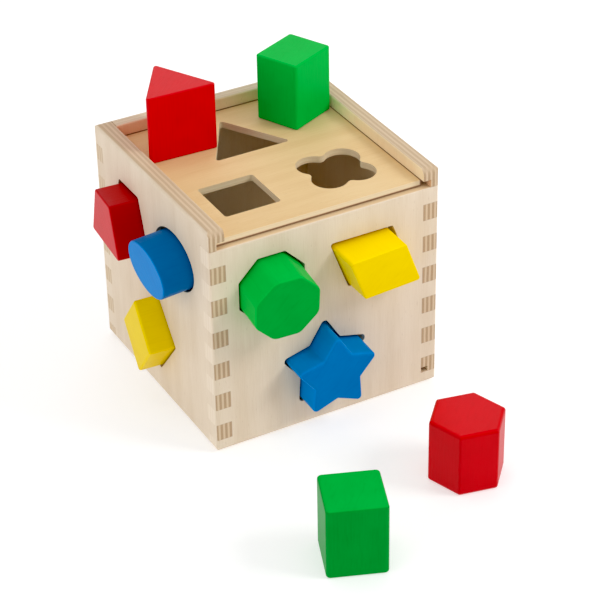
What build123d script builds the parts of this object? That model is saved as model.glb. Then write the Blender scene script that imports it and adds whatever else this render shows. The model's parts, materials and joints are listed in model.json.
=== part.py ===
"""Wooden shape sorter: finger-jointed plywood box, sliding lid, twelve blocks.

Millimetres, +Z up. The origin is the centre of the box at the level it
stands on; the front wall faces -Y and the left wall faces -X.
"""

import math
import os

from build123d import *

os.makedirs("parts", exist_ok=True)

# ---- box ----
SIDE = 140.0             # outer width, depth and height
WALL = 9.6               # seven-ply wall thickness
HALF = SIDE / 2
INNER = HALF - WALL      # inner face of each wall, from the middle
CORNER_R = 1.5           # rounding of the four upright corners
TOP_R = 2.6              # rounding of the outer top edges
RAIL_R = 4.0             # the same at the rails' front and back ends
BASE_R = 4.4             # rounding of the outer bottom edges
LIP_R = 1.0              # rounding of the inner top edges

# ---- finger joints ----
FINGER = 10.0            # height of one finger
PITCH = 2 * FINGER
FINGER_Z = 8.4           # bottom of the lowest side-wall finger
FINGER_COUNT = 6
FRONT_TOP = 128.4        # the front wall stops here, under the lid

# ---- lid and the grooves that hold it ----
LID_T = 3.9
LID_GAP = 0.3            # under and over the lid
LID_GROOVE = 4.7         # depth of the lid groove
LID_FIT = 0.3            # between the lid's left edge and the groove's bottom
LID_BITE = 1.2           # how far the narrow lid reaches into the right groove
LID_BACK_GAP = 0.4       # behind the lid, in the back wall's groove
LID_SETBACK = 3.5        # front edge of the lid behind the box's face
LID_CORNER_R = 1.5
LID_EDGE_R = 0.6

# ---- bottom panel ----
PANEL_T = 3.0
PANEL_Z = 8.7            # underside of the panel
PANEL_GROOVE = 4.5
PANEL = 2 * (INNER + PANEL_GROOVE)

# ---- blocks ----
LENGTH = 40.0            # most blocks
LENGTHS = {"hexagon": 38.6, "square": 42.6}
END_R = 1.0              # rounding round each end face
END_RADII = {"star": 2.0, "octagon": 1.5, "rhombus": 1.4, "hexagon": 2.0, "square": 1.6}
LONG_R = 1.6             # rounding along the straight long edges
LONG_RADII = {"octagon": 6.0, "square": 2.4}

TRIANGLE_SIDE = 43.0
TRAPEZOID = (22.5, 41.5, 30.3)       # top, bottom, height
HEXAGON_R = 21.8                     # centre to corner
OCTAGON_FLATS = 37.6
RECTANGLE = (28.0, 32.5)
SQUARE = 32.6
PARALLELOGRAM = (35.8, 26.8, 10.0)   # width, height, slant
RHOMBUS = (40.0, 48.2)               # across, tall
PENTAGON_R = 20.5
OVAL_R = (22.0, 15.2)                # half its width, half its height
STAR_R = (26.2, 15.0)                # tips, notches
STAR_TIP_R = 2.4
LOBE_R = 9.1                         # quatrefoil: lobe radius
LOBE_OFFSET = 8.75                   # lobe centre from the middle, each way
LOBE_BLEND_R = 3.0                   # hollow between two lobes


def regular(count, radius, first):
    """Corners of a regular polygon, the first one at the given angle."""
    turns = [math.radians(first + 360 * k / count) for k in range(count)]
    return [(radius * math.cos(t), radius * math.sin(t)) for t in turns]


def slab(bottom, top, height, slant=0.0):
    """Corners of a four-sided outline with a level bottom and top."""
    low, high = -height / 2, height / 2
    return [
        (-bottom / 2 + slant / 2, low),
        (bottom / 2 + slant / 2, low),
        (top / 2 - slant / 2, high),
        (-top / 2 - slant / 2, high),
    ]


def star(outer, inner):
    """Corners of a five-pointed star, one tip up."""
    turns = [math.radians(90 + 36 * k) for k in range(10)]
    radii = [outer if k % 2 == 0 else inner for k in range(10)]
    return [(r * math.cos(t), r * math.sin(t)) for r, t in zip(radii, turns)]


POLYGONS = {
    "triangle": regular(3, TRIANGLE_SIDE / math.sqrt(3), 90),
    "trapezoid": slab(TRAPEZOID[1], TRAPEZOID[0], TRAPEZOID[2]),
    "hexagon": regular(6, HEXAGON_R, 0),
    "octagon": regular(8, OCTAGON_FLATS / 2 / math.cos(math.pi / 8), 22.5),
    "rectangle": slab(RECTANGLE[0], RECTANGLE[0], RECTANGLE[1]),
    "square": slab(SQUARE, SQUARE, SQUARE),
    "parallelogram": slab(
        PARALLELOGRAM[0], PARALLELOGRAM[0], PARALLELOGRAM[1], PARALLELOGRAM[2]
    ),
    "rhombus": [
        (0, -RHOMBUS[1] / 2), (RHOMBUS[0] / 2, 0),
        (0, RHOMBUS[1] / 2), (-RHOMBUS[0] / 2, 0),
    ],
    "pentagon": regular(5, PENTAGON_R, 90),
}


def outline(shape, grow=0.0):
    """Cross-section of a block. Its hole is the same outline, grown."""
    with BuildSketch(mode=Mode.PRIVATE) as section:
        if shape == "oval":
            Ellipse(OVAL_R[0] + grow, OVAL_R[1] + grow)
        elif shape == "quatrefoil":
            with GridLocations(2 * LOBE_OFFSET, 2 * LOBE_OFFSET, 2, 2):
                Circle(LOBE_R + grow)
            Rectangle(2 * LOBE_OFFSET, 2 * LOBE_OFFSET)
            fillet(section.vertices(), LOBE_BLEND_R)
        elif shape == "star":
            with BuildLine():
                Polyline(*star(*STAR_R), close=True)
            make_face()
            if grow:
                offset(amount=grow, kind=Kind.INTERSECTION)
            ranked = section.vertices().sort_by_distance((0, 0))
            fillet(ranked[5:], STAR_TIP_R)
            ranked = section.vertices().sort_by_distance((0, 0))
            fillet(ranked[:5], LONG_R)
        else:
            with BuildLine():
                Polyline(*POLYGONS[shape], close=True)
            make_face()
            if grow:
                offset(amount=grow, kind=Kind.INTERSECTION)
            softened = LONG_R if grow else LONG_RADII.get(shape, LONG_R)
            fillet(section.vertices(), softened)
    return section.sketch


# Holes in each face: shape, position across the face, height (or the
# position towards the back, on the lid), and clearance round the block.
FRONT_HOLES = [
    ("octagon", -33.3, 96.3, 1.1),
    ("parallelogram", 27.2, 96.7, 1.6),
    ("star", -1.8, 38.0, 1.25),
]
LEFT_HOLES = [
    ("trapezoid", 27.6, 102.7, 1.3),
    ("oval", -27.8, 102.6, 1.5),
    ("rhombus", -2.1, 42.4, 1.1),
]
RIGHT_HOLES = [
    ("rectangle", -38.0, 98.0, 1.3),
    ("pentagon", -30.0, 43.0, 1.3),
    ("hexagon", 27.0, 43.0, 1.3),
]
LID_HOLES = [
    ("square", -31.6, -31.4, 0.4),
    ("quatrefoil", 27.5, -32.2, 1.15),
    ("triangle", -2.0, 21.5, 1.15),
]


def wall_plane(face, across, height, reach, yaw=0.0, droop=0.0, roll=0.0):
    """Plane of a block's inner end, facing out of the box.

    The block pivots at mid-wall: yaw turns its outer end to the right as
    seen from outside, droop lowers it, and reach is how far it stands out.
    """
    yaw, droop, roll = (math.radians(a) for a in (yaw, droop, roll))
    if face == "front":
        right, out = Vector(1, 0, 0), Vector(0, -1, 0)
    else:
        right, out = Vector(0, -1, 0), Vector(-1, 0, 0)
    up = Vector(0, 0, 1)
    axis = (
        right * (math.sin(yaw) * math.cos(droop))
        - up * math.sin(droop)
        + out * (math.cos(yaw) * math.cos(droop))
    )
    level = right * math.cos(yaw) - out * math.sin(yaw)
    x_dir = level * math.cos(roll) + axis.cross(level) * math.sin(roll)
    pivot = right * across + up * height + out * (HALF - WALL / 2)
    inner_end = pivot + axis * (reach + WALL / 2 - LENGTH)
    return Plane(origin=inner_end, x_dir=x_dir, z_dir=axis)


def standing_plane(x, y, z, turn):
    """Plane under a block that stands on end, turned about the vertical."""
    turn = math.radians(turn)
    x_dir = (math.cos(turn), math.sin(turn), 0)
    return Plane(origin=(x, y, z), x_dir=x_dir, z_dir=(0, 0, 1))


LID_Z = FRONT_TOP + LID_GAP
LID_TOP = LID_Z + LID_T
PANEL_TOP = PANEL_Z + PANEL_T

BLOCKS = {
    "green_octagon": (
        "octagon", wall_plane("front", -33.1, 96.2, 20.2, -2.9, 5.8)),
    "yellow_parallelogram": (
        "parallelogram", wall_plane("front", 26.7, 96.1, 16.3, 2.5, 3.8, 1.4)),
    "blue_star": (
        "star", wall_plane("front", -1.9, 37.6, 16.3, -1.5, 1.2, -0.3)),
    "red_trapezoid": (
        "trapezoid", wall_plane("left", -27.2, 101.9, 15.7, -4.6, 0.6)),
    "blue_oval": (
        "oval", wall_plane("left", 27.3, 102.4, 17.0, -0.6, 5.2, 1.2)),
    "yellow_rhombus": (
        "rhombus", wall_plane("left", 2.2, 42.3, 13.6, -3.9, 0.6, -0.5)),
    "red_triangle": (
        "triangle", standing_plane(-37.0, 34.3, LID_TOP, -2.0)),
    "green_rectangle": (
        "rectangle", standing_plane(38.7, 35.2, LID_TOP, -65.2)),
    "red_hexagon": (
        "hexagon", standing_plane(38.2, -152.4, 0, -12.0)),
    "green_square": (
        "square", standing_plane(-49.9, -183.4, 0, -21.2)),
    "blue_quatrefoil": (
        "quatrefoil", standing_plane(-9.0, 18.0, PANEL_TOP, 22.0)),
    "yellow_pentagon": (
        "pentagon", standing_plane(36.0, 22.0, PANEL_TOP, 11.0)),
}

finger_mids = [
    FINGER_Z + FINGER / 2 + PITCH * k for k in range(FINGER_COUNT)
]
gap_mids = [z + FINGER for z in finger_mids]



def profile(top_radius):
    """Upright square seen from one side, rounded above and below."""
    with BuildSketch(mode=Mode.PRIVATE) as section:
        with Locations((0, HALF)):
            Rectangle(SIDE, SIDE)
        fillet(section.vertices().group_by(Axis.Y)[-1], top_radius)
        fillet(section.vertices().group_by(Axis.Y)[0], BASE_R)
    return section.sketch


# ---- rounded outer shape that the joined box is sanded to ----
with BuildPart() as sanded:
    with BuildSketch():
        RectangleRounded(SIDE, SIDE, CORNER_R)
    extrude(amount=SIDE)
    with BuildSketch(Plane.YZ.offset(-HALF)):
        add(profile(RAIL_R))
    extrude(amount=SIDE, mode=Mode.INTERSECT)
    with BuildSketch(Plane.XZ.offset(-HALF)):
        add(profile(TOP_R))
    extrude(amount=SIDE, mode=Mode.INTERSECT)


def side_wall(name, sign, holes, panel_groove):
    """Side wall: six fingers, a full-depth top rail and the two grooves.

    The panel groove is centred and as long as given.
    """
    with BuildPart() as wall:
        near = -HALF if sign < 0 else INNER
        with BuildSketch(Plane.YZ.offset(near)):
            with Locations((0, HALF)):
                Rectangle(2 * INNER, SIDE)
            with Locations(*[(0, z) for z in finger_mids]):
                Rectangle(SIDE, FINGER)
            with Locations((0, (FRONT_TOP + SIDE) / 2)):
                Rectangle(SIDE, SIDE - FRONT_TOP)
            for shape, across, height, clearance in holes:
                with Locations((across, height)):
                    add(outline(shape, clearance), mode=Mode.SUBTRACT)
        extrude(amount=WALL)
        lid_depth = HALF + INNER + LID_GROOVE
        lid_mid = Vector(
            sign * (INNER + LID_GROOVE / 2),
            -HALF + lid_depth / 2,
            FRONT_TOP + (LID_T + 2 * LID_GAP) / 2,
        )
        with Locations(lid_mid):
            Box(LID_GROOVE, lid_depth, LID_T + 2 * LID_GAP,
                mode=Mode.SUBTRACT)
        panel_mid = Vector(
            sign * (INNER + PANEL_GROOVE / 2), 0, PANEL_Z + PANEL_T / 2)
        with Locations(panel_mid):
            Box(PANEL_GROOVE, panel_groove, PANEL_T, mode=Mode.SUBTRACT)
        lip = wall.edges().filter_by(Axis.Y).filter_by(
            lambda e: abs(e.center().Z - SIDE) < 0.01
            and abs(abs(e.center().X) - INNER) < 0.01)
        fillet(lip, LIP_R)
        add(sanded.part, mode=Mode.INTERSECT)
    wall.part.label = name
    export_step(wall.part, f"parts/{name}.step")


# The left groove is stopped; the right one shows in the lowest fingers.
side_wall("left_wall", -1, LEFT_HOLES, PANEL)
side_wall("right_wall", 1, RIGHT_HOLES, SIDE)

# ---- front wall: low, so that the lid slides out over it ----
with BuildPart() as front_wall:
    with BuildSketch(Plane.XZ.offset(INNER)):
        with Locations((0, FRONT_TOP / 2)):
            Rectangle(2 * INNER, FRONT_TOP)
        with Locations(*[(0, z) for z in gap_mids]):
            Rectangle(SIDE, FINGER)
        with Locations((0, FINGER_Z / 2)):
            Rectangle(SIDE, FINGER_Z)
        for shape, across, height, clearance in FRONT_HOLES:
            with Locations((across, height)):
                add(outline(shape, clearance), mode=Mode.SUBTRACT)
    extrude(amount=WALL)
    with Locations((0, -INNER - PANEL_GROOVE / 2, PANEL_Z + PANEL_T / 2)):
        Box(2 * INNER, PANEL_GROOVE, PANEL_T, mode=Mode.SUBTRACT)
    rim = front_wall.edges().filter_by(Axis.X).filter_by(
        lambda e: abs(e.center().Z - FRONT_TOP) < 0.01)
    fillet(rim, LIP_R)
    add(sanded.part, mode=Mode.INTERSECT)
front_wall.part.label = "front_wall"
export_step(front_wall.part, "parts/front_wall.step")

# ---- back wall: full height, with the stop for the lid ----
with BuildPart() as back_wall:
    with BuildSketch(Plane.XZ.offset(-HALF)):
        with Locations((0, HALF)):
            Rectangle(2 * INNER, SIDE)
        with Locations(*[(0, z) for z in gap_mids]):
            Rectangle(SIDE, FINGER)
        with Locations((0, FINGER_Z / 2)):
            Rectangle(SIDE, FINGER_Z)
    extrude(amount=WALL)
    lid_mid = (0, INNER + LID_GROOVE / 2,
               FRONT_TOP + (LID_T + 2 * LID_GAP) / 2)
    with Locations(lid_mid):
        Box(2 * INNER, LID_GROOVE, LID_T + 2 * LID_GAP, mode=Mode.SUBTRACT)
    with Locations((0, INNER + PANEL_GROOVE / 2, PANEL_Z + PANEL_T / 2)):
        Box(2 * INNER, PANEL_GROOVE, PANEL_T, mode=Mode.SUBTRACT)
    lip = back_wall.edges().filter_by(Axis.X).filter_by(
        lambda e: abs(e.center().Z - SIDE) < 0.01
        and abs(e.center().Y - INNER) < 0.01)
    fillet(lip, LIP_R)
    add(sanded.part, mode=Mode.INTERSECT)
back_wall.part.label = "back_wall"
export_step(back_wall.part, "parts/back_wall.step")

# ---- bottom panel, held in grooves on all four sides ----
with BuildPart() as bottom_panel:
    with BuildSketch(Plane.XY.offset(PANEL_Z)):
        Rectangle(PANEL, PANEL)
    extrude(amount=PANEL_T)
bottom_panel.part.label = "bottom_panel"
export_step(bottom_panel.part, "parts/bottom_panel.step")

# ---- lid: slides forward out of the grooves ----
with BuildPart() as lid:
    lid_left = -INNER - LID_GROOVE + LID_FIT
    lid_right = INNER + LID_BITE
    lid_front = -HALF + LID_SETBACK
    lid_back = INNER + LID_GROOVE - LID_BACK_GAP
    with BuildSketch(Plane.XY.offset(LID_Z)):
        with Locations(((lid_left + lid_right) / 2, (lid_front + lid_back) / 2)):
            Rectangle(lid_right - lid_left, lid_back - lid_front)
    extrude(amount=LID_T)
    front_corners = lid.edges().filter_by(Axis.Z).sort_by(Axis.Y)[:2]
    fillet(front_corners, LID_CORNER_R)
    fillet(lid.faces().sort_by(Axis.Z)[-1].edges(), LID_EDGE_R)
    with BuildSketch(Plane.XY.offset(LID_Z)):
        for shape, across, along, clearance in LID_HOLES:
            with Locations((across, along)):
                add(outline(shape, clearance))
    extrude(amount=LID_T, mode=Mode.SUBTRACT)
lid.part.label = "lid"
export_step(lid.part, "parts/lid.step")

# ---- blocks: prisms with softened edges ----
for name, (shape, plane) in BLOCKS.items():
    with BuildPart() as block:
        with BuildSketch(plane):
            add(outline(shape))
        extrude(amount=LENGTHS.get(shape, LENGTH))
        ends = block.faces().filter_by(plane).edges()
        fillet(ends, END_RADII.get(shape, END_R))
    block.part.label = name
    export_step(block.part, f"parts/{name}.step")
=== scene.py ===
"""Shape sorter: birch plywood, painted blocks, studio floor, light and camera.

Everything is in metres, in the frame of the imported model. The materials work
in millimetres. A board has its own coordinates: along its face grain, across
it, and the depth below its outer face. A block has two coordinates across its
straight edges and one along them.
"""
import json
import math

import bpy
from mathutils import Matrix, Vector


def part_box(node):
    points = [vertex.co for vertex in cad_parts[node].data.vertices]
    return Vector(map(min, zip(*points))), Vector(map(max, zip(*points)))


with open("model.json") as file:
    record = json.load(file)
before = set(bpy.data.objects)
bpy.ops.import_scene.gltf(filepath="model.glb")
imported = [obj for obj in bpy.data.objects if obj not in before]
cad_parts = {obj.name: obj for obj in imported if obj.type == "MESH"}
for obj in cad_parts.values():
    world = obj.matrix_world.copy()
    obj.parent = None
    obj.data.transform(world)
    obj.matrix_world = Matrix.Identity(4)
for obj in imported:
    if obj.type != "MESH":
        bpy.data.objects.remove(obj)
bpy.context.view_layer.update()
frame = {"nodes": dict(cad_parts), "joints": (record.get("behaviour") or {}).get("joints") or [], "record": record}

nodes = frame["nodes"]

MM = 1000.0              # millimetres in a metre
AXES = {"x": Vector((1, 0, 0)), "y": Vector((0, 1, 0)), "z": Vector((0, 0, 1))}

# ---- facts of the joinery, in millimetres ----
FINGER = 10.0            # height of one finger
FINGER_START = 8.4       # bottom of the lowest side-wall finger
JOINT_TOP = 128.4        # the finger joints end here, under the lid
INNER = 60.4             # inner faces of the walls, from the middle
GROOVE_LOW = 128.3       # the lid's groove, a little more than its real height
GROOVE_HIGH = 133.0
LID_FRONT = -66.5        # the lid's front edge
LID_UNDER = 3.9          # depth of the lid's underside

# ---- lines drawn on the boards: joint seams, and painted shade lines on the lid, in millimetres ----
SEAM = 0.16              # half-width of the hairline between two boards
SEAM_FADE = (SEAM * 0.4, SEAM * 1.4)
# Painted shade on the lid: dark lines where the right and back grooves shade it, and under its front edge.
SHADE_LINE_RIGHT = (INNER - 0.75, INNER - 0.1)              # fades in towards the lid's right edge
SHADE_LINE_BACK = (0.45, 0.95)                              # fades out on both sides of the back groove
SHADE_LINE_UNDER = (LID_UNDER - 1.15, LID_UNDER - 0.75)     # fades in down the lid's front edge
SHADE_LINE_FRONT = LID_FRONT + 0.8                          # the line below doesn't reach behind this
SEAM_STRENGTH = 0.35
SHADE_LINE_STRENGTH = 0.8

BOARD_SHIFT = 400.0      # moves each board's figure on, so that no two boards match
NOISE_SPAN = (0.3, 0.7)  # where most of a noise's values lie


def linear(red, green, blue):
    """Scene-linear colour of an sRGB colour given from 0 to 255."""
    def channel(value):
        value /= 255
        return value / 12.92 if value <= 0.04045 else ((value + 0.055) / 1.055) ** 2.4
    return (channel(red), channel(green), channel(blue), 1.0)


class Graph:
    """A material's node tree, with one short call for each kind of node."""

    def __init__(self, name):
        self.material = bpy.data.materials.new(name)
        self.material.use_nodes = True
        self.tree = self.material.node_tree
        self.tree.nodes.clear()
        coordinates = self.node("ShaderNodeTexCoord")
        self.place = coordinates.outputs["Object"]
        self.normal = coordinates.outputs["Normal"]

    def node(self, kind, inputs=(), **settings):
        """New node with its inputs, which are constants or other nodes' outputs."""
        made = self.tree.nodes.new(kind)
        for key, value in settings.items():
            setattr(made, key, value)
        for socket, value in dict(inputs).items():
            self.put(made.inputs[socket], value)
        return made

    def put(self, socket, value):
        """Set a socket to a constant, or link another node's output to it."""
        if isinstance(value, bpy.types.NodeSocket):
            self.tree.links.new(value, socket)
        else:
            socket.default_value = value

    def math(self, operation, first, second=0.0, third=0.0, clamp=False):
        inputs = {0: first, 1: second, 2: third}
        made = self.node("ShaderNodeMath", inputs, operation=operation, use_clamp=clamp)
        return made.outputs[0]

    def times(self, first, *others):
        """Product of two or more values."""
        for other in others:
            first = self.math("MULTIPLY", first, other)
        return first

    def invert(self, value):
        """1 minus the value."""
        return self.math("SUBTRACT", 1.0, value)

    def step(self, value, start, end):
        """0 below start, 1 above end, smooth between them."""
        inputs = {"Value": value, "From Min": start, "From Max": end}
        made = self.node("ShaderNodeMapRange", inputs, interpolation_type="SMOOTHSTEP")
        return made.outputs["Result"]

    def fit(self, value, low, high):
        """Map 0..1 to low..high."""
        return self.math("MULTIPLY_ADD", value, high - low, low)

    def mix(self, factor, first, second):
        """First colour at factor 0, second at factor 1."""
        made = self.node("ShaderNodeMix", data_type="RGBA")
        self.put(made.inputs["Factor"], factor)
        self.put(made.inputs[6], first)
        self.put(made.inputs[7], second)
        return made.outputs[2]

    def noise(self, vector, scale, detail, roughness=0.5, distortion=0.0):
        inputs = {
            "Vector": vector, "Scale": scale, "Detail": detail,
            "Roughness": roughness, "Distortion": distortion,
        }
        return self.node("ShaderNodeTexNoise", inputs).outputs[0]

    def pattern(self, place, stretch=(1, 1, 1), **noise):
        """Noise over three coordinates, each times its factor. A factor of 0 leaves one out."""
        scaled = []
        for value, factor in zip(place, stretch):
            if factor == 0:
                value = 0.0
            elif factor != 1:
                value = self.times(value, factor)
            scaled.append(value)
        vector = self.node("ShaderNodeCombineXYZ", dict(zip("XYZ", scaled))).outputs[0]
        return self.noise(vector, **noise)

    def along(self, vector, axis):
        """The vector's component along a fixed direction."""
        made = self.node("ShaderNodeVectorMath", {0: vector, 1: axis}, operation="DOT_PRODUCT")
        return made.outputs["Value"]

    def bump(self, height, distance, strength):
        inputs = {"Height": height, "Distance": distance, "Strength": strength}
        return self.node("ShaderNodeBump", inputs).outputs[0]

    def finish(self, **sockets):
        """Principled shader with the given sockets, as the surface."""
        shader = self.node("ShaderNodeBsdfPrincipled")
        for name, value in sockets.items():
            self.put(shader.inputs[name.replace("_", " ")], value)
        output = self.node("ShaderNodeOutputMaterial")
        self.tree.links.new(shader.outputs[0], output.inputs[0])
        return self.material


def give(node, material):
    """Put the material on every slot of a CAD node."""
    for slot in nodes[node].material_slots:
        slot.material = material


# ---- plywood ----

# The face veneer: each pattern's span, and how much it darkens the veneer.
FIBRE_SPAN = (0.3, 0.75)
FIBRE_TONE = 0.34
BAND_TONE = 0.36
CLOUD_TONE = 0.3
FLECK_SPAN = (0.68, 0.78)
FLECK_TONE = 0.18
FLECK_COLOUR = linear(158, 126, 84)
FLECK_DEPTH = 0.5        # of the fibres' relief

# The cut edges. The wobble, the change of ply and the glue line are measured in plies.
PLY_WOBBLE = 0.14
PLY_CHANGE = (0.42, 0.58)
GLUE_LINE = (0.4, 0.5)
GLUE_COLOUR = linear(120, 88, 52)
PORE_SPAN = (0.25, 0.75)
PORE_TONE = (0.75, 1.1)
STREAK_TONE = 0.12
TOP_FADE = 0.45          # how much fainter the plies are on edges cut across the face grain

FACE_TURN = (0.5, 0.75)  # from cut edge to face, by how squarely the surface faces outwards
# Colour of the dark finger-joint seams, and of the painted shade lines on the lid.
SEAM_AND_SHADE_COLOUR = linear(112, 60, 20)


def veneer(graph, place, light, dark):
    """Rotary-cut birch face: fine fibres, faint bands, cloudy figure and flecks."""
    fibre = graph.pattern(place, (0.035, 1, 1), scale=1.9, detail=4.0, roughness=0.6)
    band = graph.pattern(place, (0.006, 0.085, 1), scale=1.0, detail=2.0, distortion=0.35)
    cloud = graph.pattern(place, scale=0.021, detail=1.0)
    fleck = graph.pattern(place, (0.22, 1, 1), scale=1.25, detail=1.0, roughness=0.4)
    fleck = graph.step(fleck, *FLECK_SPAN)
    tone = graph.times(graph.step(band, *NOISE_SPAN), BAND_TONE)
    tone = graph.math("MULTIPLY_ADD", graph.step(fibre, *FIBRE_SPAN), FIBRE_TONE, tone)
    tone = graph.math("MULTIPLY_ADD", graph.step(cloud, *NOISE_SPAN), CLOUD_TONE, tone)
    colour = graph.mix(tone, light, dark)
    colour = graph.mix(graph.times(fleck, FLECK_TONE), colour, FLECK_COLOUR)
    return colour, fibre, fleck


def plies(graph, place, thickness, count, facing_grain, side_grain, end_grain, glued):
    """Cut edge of the board: plies whose grain runs along the edge are light, the others dark."""
    depth = place[2]
    wobble = graph.pattern(place, (1, 1, 0), scale=0.16, detail=1.0)
    level = graph.times(depth, count / thickness)
    level = graph.math("ADD", level, graph.fit(wobble, -PLY_WOBBLE, PLY_WOBBLE))
    phase = graph.math("PINGPONG", graph.math("ADD", level, 0.5), 1.0)
    odd = graph.step(phase, *PLY_CHANGE)
    end = graph.math("ABSOLUTE", graph.math("SUBTRACT", odd, facing_grain))
    top_cut = graph.invert(graph.times(facing_grain, TOP_FADE))
    line = graph.math("ABSOLUTE", graph.math("SUBTRACT", graph.math("FRACT", level), 0.5))
    glue = graph.step(line, *GLUE_LINE)
    pore = graph.pattern(place, scale=1.7, detail=3.0, roughness=0.7)
    streak = graph.pattern(place, (0.3, 0.3, 1), scale=1.5, detail=2.0)
    end = graph.times(end, graph.fit(graph.step(pore, *PORE_SPAN), *PORE_TONE))
    end = graph.math("ADD", end, graph.fit(streak, -STREAK_TONE, STREAK_TONE), clamp=True)
    end = graph.times(end, top_cut)
    colour = graph.mix(end, side_grain, end_grain)
    return graph.mix(graph.times(glue, top_cut, glued), colour, GLUE_COLOUR), pore


def finger_seams(graph, place):
    """Hairlines where a front or back wall meets its neighbours in the finger joints."""
    along, across, depth = place
    reach = graph.math("ABSOLUTE", across)
    step = graph.math("DIVIDE", graph.math("SUBTRACT", along, FINGER_START), FINGER)
    from_line = graph.times(graph.math("PINGPONG", step, 0.5), FINGER)
    level = graph.invert(graph.step(from_line, *SEAM_FADE))
    level = graph.times(level, graph.math("GREATER_THAN", reach, INNER))
    from_edge = graph.math("ABSOLUTE", graph.math("SUBTRACT", reach, INNER))
    upright = graph.invert(graph.step(from_edge, *SEAM_FADE))
    lower = graph.math("LESS_THAN", graph.math("MODULO", step, 2.0), 1.0)
    upright = graph.times(upright, lower)
    inside = graph.times(
        graph.math("GREATER_THAN", along, FINGER_START - SEAM),
        graph.math("LESS_THAN", along, JOINT_TOP + SEAM),
        graph.math("LESS_THAN", depth, SEAM))
    return graph.times(graph.math("MAXIMUM", level, upright), inside, SEAM_STRENGTH)


def lid_shade_lines(graph, place):
    """Painted shade: dark lines on the lid along the back and right grooves, and under its front edge."""
    along, across, depth = place
    right = graph.step(along, *SHADE_LINE_RIGHT)
    behind = graph.math("ABSOLUTE", graph.math("SUBTRACT", across, INNER))
    behind = graph.invert(graph.step(behind, *SHADE_LINE_BACK))
    under = graph.times(graph.step(depth, *SHADE_LINE_UNDER), graph.math("LESS_THAN", across, SHADE_LINE_FRONT))
    marks = graph.math("MAXIMUM", graph.math("MAXIMUM", right, behind), under)
    return graph.times(marks, SHADE_LINE_STRENGTH)


def plywood(node, thin, grain, outer, count, face, inner, edge, marks, crown, offset):
    """Material of one board.

    thin and grain are the axes across the board and along its face grain,
    outer is the sign of the side that depth is measured from, and count is the
    number of plies. face and inner are pairs of colours, the walls' inner pair
    lighter as painted light for the inside of the box, edge is two colours and
    the strength of its glue lines, marks gives a mask of dark lines (the
    finger-joint seams, and painted shade on the lid), and crown colours the
    edges cut across the face grain. offset moves the figure.
    """
    low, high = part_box(node)
    index = "xyz".index(thin)
    surface = (high if outer > 0 else low)[index] * MM
    thickness = (high[index] - low[index]) * MM
    wide = ({"x", "y", "z"} - {thin, grain}).pop()
    graph = Graph(node)
    along = graph.along(graph.place, AXES[grain] * MM)
    across = graph.along(graph.place, AXES[wide] * MM)
    depth = graph.along(graph.place, AXES[thin] * MM)
    depth = graph.math("MULTIPLY_ADD", depth, -outer, outer * surface)
    moved = (along, graph.math("ADD", across, offset), depth)

    # Painted light: the band of the inner faces at the groove's height takes an orange tint.
    if grain == "z":
        groove = graph.times(
            graph.math("GREATER_THAN", along, GROOVE_LOW),
            graph.math("LESS_THAN", along, GROOVE_HIGH))
        inner = [graph.mix(groove, colour, GROOVE) for colour in inner]
    # The inner half takes the inner colours, which on the walls are painted light.
    outside = graph.math("LESS_THAN", depth, thickness / 2)
    light = graph.mix(outside, inner[0], face[0])
    dark = graph.mix(outside, inner[1], face[1])
    colour, fibre, fleck = veneer(graph, moved, light, dark)

    toward = graph.along(graph.normal, AXES[grain])
    facing_grain = graph.math("MULTIPLY", toward, toward, clamp=True)
    sides, pore = plies(graph, moved, thickness, count, facing_grain, *edge)
    if crown is not None:
        sides = graph.mix(facing_grain, sides, crown)

    outward = graph.math("ABSOLUTE", graph.along(graph.normal, AXES[thin]))
    flat = graph.step(outward, *FACE_TURN)
    colour = graph.mix(flat, sides, colour)
    # Dark lines: the finger-joint seams on the front and back walls, painted shade lines on the lid.
    if marks is not None:
        colour = graph.mix(marks(graph, (along, across, depth)), colour, SEAM_AND_SHADE_COLOUR)
    relief = graph.mix(flat, pore, fibre)
    relief = graph.math("SUBTRACT", relief, graph.times(fleck, FLECK_DEPTH))
    return graph.finish(
        Base_Color=colour,
        Roughness=graph.fit(fibre, 0.5, 0.66),
        Normal=graph.bump(relief, distance=0.00012, strength=0.5),
        Specular_IOR_Level=0.35,
    )


# Faces: the veneer's light and dark colour.
WALL_FACE = (linear(231, 215, 194), linear(215, 195, 169))
# Painted light: the walls' inner faces are lighter and warmer than their outer faces, standing in for the light
# and warm bounce inside the box.
WALL_INSIDE = (linear(250, 230, 196), linear(240, 214, 172))
LID_FACE = (linear(231, 201, 151), linear(217, 181, 128))
PANEL_FACE = (linear(252, 234, 200), linear(242, 216, 176))
# Edges: the plies' side grain and end grain, and the strength of the glue lines.
SIDE_EDGE = (linear(211, 187, 156), linear(178, 148, 116), 0.2)
FRONT_EDGE = (linear(233, 217, 196), linear(229, 212, 189), 0.04)
BACK_EDGE = (linear(219, 199, 171), linear(203, 178, 146), 0.14)
LID_EDGE = (linear(234, 214, 178), linear(229, 206, 168), 0.05)
# The bottom panel's edges are dark brown: painted shade for the recess they sit in.
PANEL_EDGE = (linear(96, 70, 42), linear(60, 42, 24), 0.2)
# Painted light: orange tint on the groove's floor, standing in for the light reaching into the groove.
GROOVE = linear(242, 196, 152)
FRONT_CROWN = linear(221, 192, 152)

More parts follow.
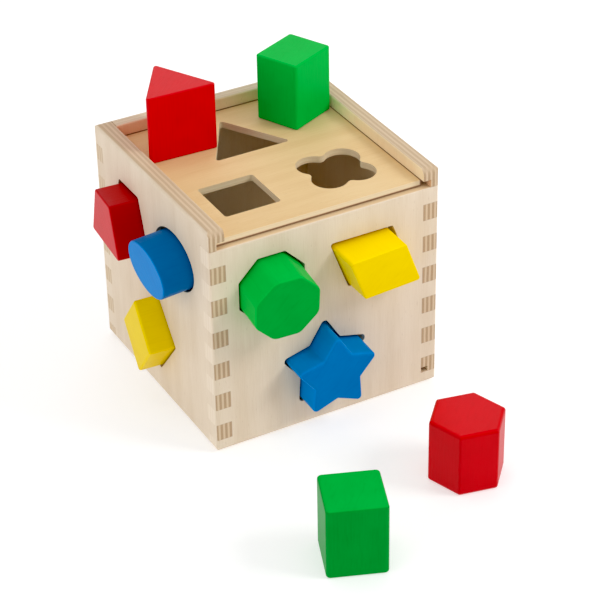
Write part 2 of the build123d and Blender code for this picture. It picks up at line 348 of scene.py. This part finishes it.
# thin, grain, outer, count, face, inner, edge, marks and crown of each board.
BOARDS = {
    "left_wall": ("x", "z", -1, 7, WALL_FACE, WALL_INSIDE, SIDE_EDGE, None, None),
    "right_wall": ("x", "z", 1, 7, WALL_FACE, WALL_INSIDE, SIDE_EDGE, None, None),
    "front_wall": ("y", "z", -1, 7, WALL_FACE, WALL_INSIDE, FRONT_EDGE, finger_seams, FRONT_CROWN),
    "back_wall": ("y", "z", 1, 7, WALL_FACE, WALL_INSIDE, BACK_EDGE, finger_seams, None),
    "bottom_panel": ("z", "x", 1, 3, PANEL_FACE, PANEL_FACE, PANEL_EDGE, None, None),
    "lid": ("z", "x", 1, 3, LID_FACE, LID_FACE, LID_EDGE, lid_shade_lines, None),
}
for number, (node, board) in enumerate(BOARDS.items()):
    give(node, plywood(node, *board, offset=BOARD_SHIFT * number))


# ---- painted blocks ----

# Each block's grain starts this many millimetres further on, along and across.
SEED_ALONG = 97.0
SEED_ACROSS = 61.0
END_TURN = (0.6, 0.85)   # from side to end, by how squarely the surface faces along the block
CLOUD_WEAR = 0.3         # how much of the worn colour the clouds and the grain bring out
GRAIN_WEAR = 0.35
GRAIN_SPAN = (0.45, 0.8)
PEEL_DEPTH = 0.25        # of the grain's relief
# Colour that the painted shade on the blocks mixes towards.
PAINTED_SHADE_BLACK = (0, 0, 0, 1)


def block_axis(node):
    """Direction of the block's straight edges, from the joint it slides on."""
    bodies = frame["record"]["behaviour"]["bodies"]
    body = next(name for name, members in bodies.items() if node in members)
    joint = next(joint for joint in frame["joints"] if joint["child"] == body)
    return Vector(joint["axis"]).normalized()


def paint(node, full, worn, gloss, seed, painted_shade):
    """Satin paint on beech, with the grain showing faintly through.

    full and worn are the colours of a full coat and of a thin one over the
    grain, and painted_shade is how much painted shade darkens the block's ends
    and its sides, for how the light falls on them.
    """
    graph = Graph(node)
    axis = block_axis(node)
    right = axis.orthogonal().normalized()
    up = axis.cross(right)
    along = graph.math("ADD", graph.along(graph.place, axis * MM), seed * SEED_ALONG)
    x = graph.math("ADD", graph.along(graph.place, right * MM), seed * SEED_ACROSS)
    y = graph.along(graph.place, up * MM)
    place = (x, y, along)
    endward = graph.math("ABSOLUTE", graph.along(graph.normal, axis))
    end = graph.step(endward, *END_TURN)

    fibre = graph.pattern(place, (1, 1, 0.06), scale=1.1, detail=3.0, roughness=0.6)
    ring = graph.pattern(
        place, (0.22, 1, 0), scale=0.55, detail=3.0, roughness=0.55, distortion=0.4)
    grain = graph.mix(end, fibre, ring)
    peel = graph.pattern(place, scale=1.6, detail=2.0)
    cloud = graph.pattern(place, scale=0.07, detail=2.0)

    tone = graph.times(graph.step(cloud, *NOISE_SPAN), CLOUD_WEAR)
    tone = graph.math("MULTIPLY_ADD", graph.step(grain, *GRAIN_SPAN), GRAIN_WEAR, tone)
    # Painted shade: ends and sides darkened towards black, for how the light falls on them.
    shade = graph.fit(end, painted_shade[1], painted_shade[0])
    relief = graph.math("ADD", grain, graph.times(peel, PEEL_DEPTH))
    return graph.finish(
        Base_Color=graph.mix(shade, graph.mix(tone, full, worn), PAINTED_SHADE_BLACK),
        Roughness=graph.fit(peel, 0.3, 0.4),
        Normal=graph.bump(relief, distance=0.0002, strength=0.4),
        Specular_IOR_Level=gloss,
    )


# Colour of a full coat, of a thin one, and gloss.
PAINTS = {
    "red": (linear(211, 0, 16), linear(195, 0, 10), 0.14),
    "green": (linear(0, 184, 68), linear(0, 168, 58), 0.04),
    "yellow": (linear(251, 219, 0), linear(242, 207, 0), 0.06),
    "blue": (linear(0, 130, 205), linear(0, 116, 192), 0.03),
}
# Painted shade: how much each block's ends and its sides are darkened from its paint, for how the light falls on
# them.
BLOCKS = {
    "green_octagon": (0.22, 0.0),
    "yellow_parallelogram": (0.1, 0.0),
    "blue_star": (0.18, 0.0),
    "red_trapezoid": (0.06, 0.24),
    "blue_oval": (0.0, 0.35),
    "yellow_rhombus": (0.14, 0.1),
    "red_triangle": (0.0, 0.0),
    "green_rectangle": (0.0, 0.0),
    "red_hexagon": (0.0, 0.08),
    "green_square": (0.1, 0.38),
    "blue_quatrefoil": (0.0, 0.0),
    "yellow_pentagon": (0.0, 0.0),
}
for seed, (node, painted_shade) in enumerate(BLOCKS.items()):
    colour = node.split("_")[0]
    give(node, paint(node, *PAINTS[colour], seed, painted_shade))


# ---- floor ----

FLOOR_HALF = 6.0         # metres from the middle to each side
FLOOR_BASE = 0.6
FLOOR_GLOW = 0.49        # keeps the floor white in soft shade


def floor_material():
    """White studio paper, slightly lit from below."""
    graph = Graph("floor")
    cloud = graph.noise(graph.place, scale=3.0, detail=2.0)
    return graph.finish(
        Base_Color=(FLOOR_BASE, FLOOR_BASE, FLOOR_BASE, 1),
        Roughness=graph.fit(cloud, 0.7, 0.8),
        Specular_IOR_Level=0.2,
        Emission_Color=(1.0, 1.0, 1.0, 1),
        Emission_Strength=FLOOR_GLOW,
    )


floor_mesh = bpy.data.meshes.new("floor")
corners = [(-1, -1), (1, -1), (1, 1), (-1, 1)]
corners = [(x * FLOOR_HALF, y * FLOOR_HALF, 0) for x, y in corners]
floor_mesh.from_pydata(corners, [], [(0, 1, 2, 3)])
floor = bpy.data.objects.new("floor", floor_mesh)
bpy.context.scene.collection.objects.link(floor)
floor_mesh.materials.append(floor_material())


# ---- light ----

SKY = 0.57
MIDDLE = (0.0, -0.04, 0.07)
# Place and width in metres, and power in watts.
SOFTBOXES = {
    "key": ((1.2, -1.1, 1.3), 0.7, 16.0),
    "overhead": ((-0.1, 0.3, 1.6), 1.2, 4.5),
    "left": ((-1.5, -0.3, 0.7), 1.2, 5.8),
    "back": ((0.7, 1.3, 0.9), 1.2, 4.0),
}

world = bpy.data.worlds.new("studio")
world.use_nodes = True
background = world.node_tree.nodes["Background"]
background.inputs["Color"].default_value = (1.0, 1.0, 1.0, 1)
background.inputs["Strength"].default_value = SKY
bpy.context.scene.world = world


def softbox(name, place, width, power):
    """Square area light that faces the middle of the toy."""
    light = bpy.data.lights.new(name, "AREA")
    light.size = width
    light.energy = power
    lamp = bpy.data.objects.new(name, light)
    lamp.location = place
    lamp.rotation_mode = "QUATERNION"
    lamp.rotation_quaternion = (Vector(MIDDLE) - Vector(place)).to_track_quat("-Z", "Y")
    bpy.context.scene.collection.objects.link(lamp)


for name, settings in SOFTBOXES.items():
    softbox(name, *settings)


# ---- camera ----

CAMERA_PLACE = Vector((-0.4963, -0.9576, 0.7306))
AZIMUTH, ELEVATION, ROLL = (math.radians(angle) for angle in (-28.38, 32.84, -1.13))
FOCAL = 131.97           # millimetres, on the default 36 mm sensor
BLACK = 0.014            # scene values below this print as black

back = Vector((
    math.sin(AZIMUTH) * math.cos(ELEVATION),
    -math.cos(AZIMUTH) * math.cos(ELEVATION),
    math.sin(ELEVATION),
))
level = Vector((math.cos(AZIMUTH), math.sin(AZIMUTH), 0.0))
upward = back.cross(level)
right = level * math.cos(ROLL) + upward * math.sin(ROLL)
top = upward * math.cos(ROLL) - level * math.sin(ROLL)
camera_data = bpy.data.cameras.new("camera")
camera_data.lens = FOCAL
camera = bpy.data.objects.new("camera", camera_data)
camera.rotation_mode = "QUATERNION"
camera.rotation_quaternion = Matrix((right, top, back)).transposed().to_quaternion()
camera.location = CAMERA_PLACE
bpy.context.scene.collection.objects.link(camera)
bpy.context.scene.camera = camera

view = bpy.context.scene.view_settings
view.view_transform = "Standard"
view.use_curve_mapping = True
view.curve_mapping.black_level = (BLACK, BLACK, BLACK)
view.curve_mapping.update()
